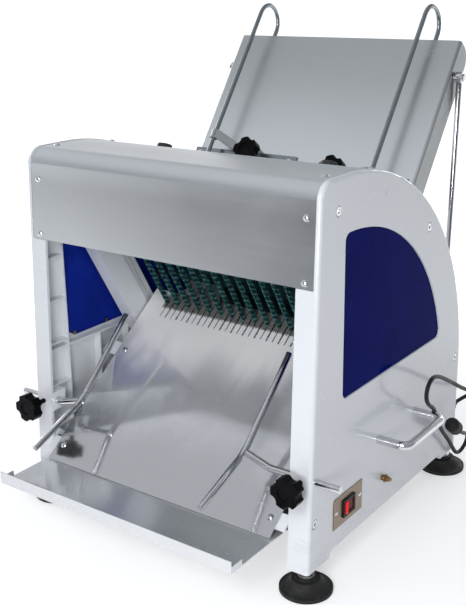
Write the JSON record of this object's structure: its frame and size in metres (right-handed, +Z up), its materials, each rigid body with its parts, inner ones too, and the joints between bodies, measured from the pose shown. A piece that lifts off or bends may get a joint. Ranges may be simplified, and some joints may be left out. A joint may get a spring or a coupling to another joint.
{
  "type": "bread slicer machine",
  "caption": "Tabletop bread slicer with white side panels, blue windows, steep infeed table, reciprocating knife frames, outfeed slide, crumb tray and guide rods",
  "frame": {"origin": "centre of the bounding box in plan, on the floor under the feet; the cord is not counted", "axes": "+X to the right seen from the outfeed side, +Y from the outfeed side to the infeed side, +Z up"},
  "size_m": [0.66, 0.7282, 0.8064],
  "materials": {
    "white_panel": "gloss white enamel",
    "white_inside": "satin white enamel",
    "blue_acrylic": "tinted acrylic",
    "brass": "plain",
    "brushed_stainless": "brushed",
    "polished_stainless": "polished",
    "bright_screws": "bright",
    "chromed_rod": "bright",
    "steel_rod": "drawn",
    "frame_steel": "light grey",
    "knife_steel": "hardened strip",
    "black_plastic": "moulded",
    "red_plastic": "translucent red",
    "black_rubber": "moulded",
    "motor_paint": "grey enamel",
    "drive_steel": "turned"
  },
  "bodies": {
    "machine": {"side_panel_left": "white_panel", "side_panel_right": "white_panel", "window_left": "blue_acrylic", "window_right": "blue_acrylic", "window_screws": "brass", "panel_screws": "bright_screws", "tie_bars": "steel_rod", "base_plate": "steel_rod", "rear_cover": "white_inside", "cover_screws": "bright_screws", "hood_cover": "brushed_stainless", "hood_screws": "bright_screws", "infeed_table": "brushed_stainless", "table_brackets": "white_inside", "prop_rod_left": "chromed_rod", "prop_rod_right": "chromed_rod", "prop_brackets": "steel_rod", "table_bolts": "bright_screws", "guide_bar": "steel_rod", "knife_rails": "white_inside", "outfeed_slide": "polished_stainless", "slide_supports": "white_inside", "slide_screws": "bright_screws", "tray_runners": "steel_rod", "handle_left": "chromed_rod", "handle_right": "chromed_rod", "foot_pads": "black_rubber", "foot_studs": "bright_screws", "switch_plate": "brushed_stainless", "switch_bezel": "black_plastic", "earth_stud": "brass", "motor": "motor_paint", "drive_belt": "black_rubber", "bearings": "motor_paint", "cord_gland": "black_plastic", "cord": "black_rubber", "plug": "black_rubber"},
    "front_knives": {"knife_frame_front": "frame_steel", "knives_front": "knife_steel"},
    "rear_knives": {"knife_frame_rear": "frame_steel", "knives_rear": "knife_steel"},
    "crank": {"crankshaft": "drive_steel", "crank_pulley": "drive_steel"},
    "motor_rotor": {"motor_pulley": "drive_steel"},
    "front_rods": {"conrods_front": "drive_steel"},
    "rear_rods": {"conrods_rear": "drive_steel"},
    "outfeed_left": {"outfeed_guide_left": "chromed_rod"},
    "outfeed_right": {"outfeed_guide_right": "chromed_rod"},
    "outfeed_clamp_left": {"outfeed_knob_left": "black_plastic"},
    "outfeed_clamp_right": {"outfeed_knob_right": "black_plastic"},
    "infeed_left": {"infeed_guide_left": "steel_rod", "infeed_clip_left": "steel_rod"},
    "infeed_right": {"infeed_guide_right": "steel_rod", "infeed_clip_right": "steel_rod"},
    "infeed_clamp_left": {"infeed_knob_left": "black_plastic"},
    "infeed_clamp_right": {"infeed_knob_right": "black_plastic"},
    "hood_clamp_left": {"hood_knob_left": "black_plastic"},
    "hood_clamp_right": {"hood_knob_right": "black_plastic"},
    "rocker": {"switch_rocker": "red_plastic"},
    "tray": {"crumb_tray": "polished_stainless"}
  },
  "joints": [
    {"name": "front_frame_slide", "type": "slide", "parent": "machine", "child": "front_knives", "axis": [0, -0.5, 0.866], "range_m": [-0.01, 0.01]},
    {"name": "rear_frame_slide", "type": "slide", "parent": "machine", "child": "rear_knives", "axis": [0, -0.5, 0.866], "range_m": [-0.01, 0.01]},
    {"name": "crank_spin", "type": "hinge", "parent": "machine", "child": "crank", "pos_m": [0, 0.11716, 0.12696], "axis": [1, 0, 0], "continuous": true},
    {"name": "motor_spin", "type": "hinge", "parent": "machine", "child": "motor_rotor", "pos_m": [0, 0.20016, 0.12696], "axis": [1, 0, 0], "continuous": true},
    {"name": "front_rod_turn", "type": "hinge", "parent": "crank", "child": "front_rods", "pos_m": [0, 0.12582, 0.13196], "axis": [1, 0, 0], "continuous": true},
    {"name": "rear_rod_turn", "type": "hinge", "parent": "crank", "child": "rear_rods", "pos_m": [0, 0.1085, 0.12196], "axis": [1, 0, 0], "continuous": true},
    {"name": "outfeed_left_slide", "type": "slide", "parent": "machine", "child": "outfeed_left", "axis": [1, 0, 0], "range_m": [-0.006, 0.03]},
    {"name": "outfeed_right_slide", "type": "slide", "parent": "machine", "child": "outfeed_right", "axis": [1, 0, 0], "range_m": [-0.03, 0.036]},
    {"name": "infeed_left_slide", "type": "slide", "parent": "machine", "child": "infeed_left", "axis": [1, 0, 0], "range_m": [-0.03, 0.052]},
    {"name": "infeed_right_slide", "type": "slide", "parent": "machine", "child": "infeed_right", "axis": [1, 0, 0], "range_m": [-0.052, 0.04]},
    {"name": "outfeed_left_clamp", "type": "hinge", "parent": "machine", "child": "outfeed_clamp_left", "pos_m": [-0.2546, -0.22914, 0.1815], "axis": [0, -1, 0], "range_deg": [0, 360]},
    {"name": "outfeed_right_clamp", "type": "hinge", "parent": "machine", "child": "outfeed_clamp_right", "pos_m": [0.2546, -0.22914, 0.1815], "axis": [0, -1, 0], "range_deg": [0, 360]},
    {"name": "infeed_left_clamp", "type": "hinge", "parent": "infeed_left", "child": "infeed_clamp_left", "pos_m": [-0.089, 0.14356, 0.55437], "axis": [0, -0.807, 0.5906], "range_deg": [0, 360]},
    {"name": "infeed_right_clamp", "type": "hinge", "parent": "infeed_right", "child": "infeed_clamp_right", "pos_m": [0.09, 0.13293, 0.53985], "axis": [0, -0.807, 0.5906], "range_deg": [0, 360]},
    {"name": "hood_left_clamp", "type": "hinge", "parent": "machine", "child": "hood_clamp_left", "pos_m": [-0.16, -0.00915, 0.58287], "axis": [0, 0.319, 0.9478], "range_deg": [0, 360]},
    {"name": "hood_right_clamp", "type": "hinge", "parent": "machine", "child": "hood_clamp_right", "pos_m": [0.16, -0.00915, 0.58287], "axis": [0, 0.319, 0.9478], "range_deg": [0, 360]},
    {"name": "rocker_turn", "type": "hinge", "parent": "machine", "child": "rocker", "pos_m": [0.2739, -0.13114, 0.1043], "axis": [0, 0, 1], "range_deg": [-18, 0]},
    {"name": "tray_pull", "type": "slide", "parent": "machine", "child": "tray", "axis": [0, -1, 0], "range_m": [0, 0.25]}
  ],
  "couplings": [
    {"joint": "rear_frame_slide", "follows": "front_frame_slide", "ratio": -1},
    {"joint": "motor_spin", "follows": "crank_spin", "ratio": 2.1818},
    {"joint": "front_rod_turn", "follows": "crank_spin", "ratio": -1},
    {"joint": "rear_rod_turn", "follows": "crank_spin", "ratio": -1}
  ]
}
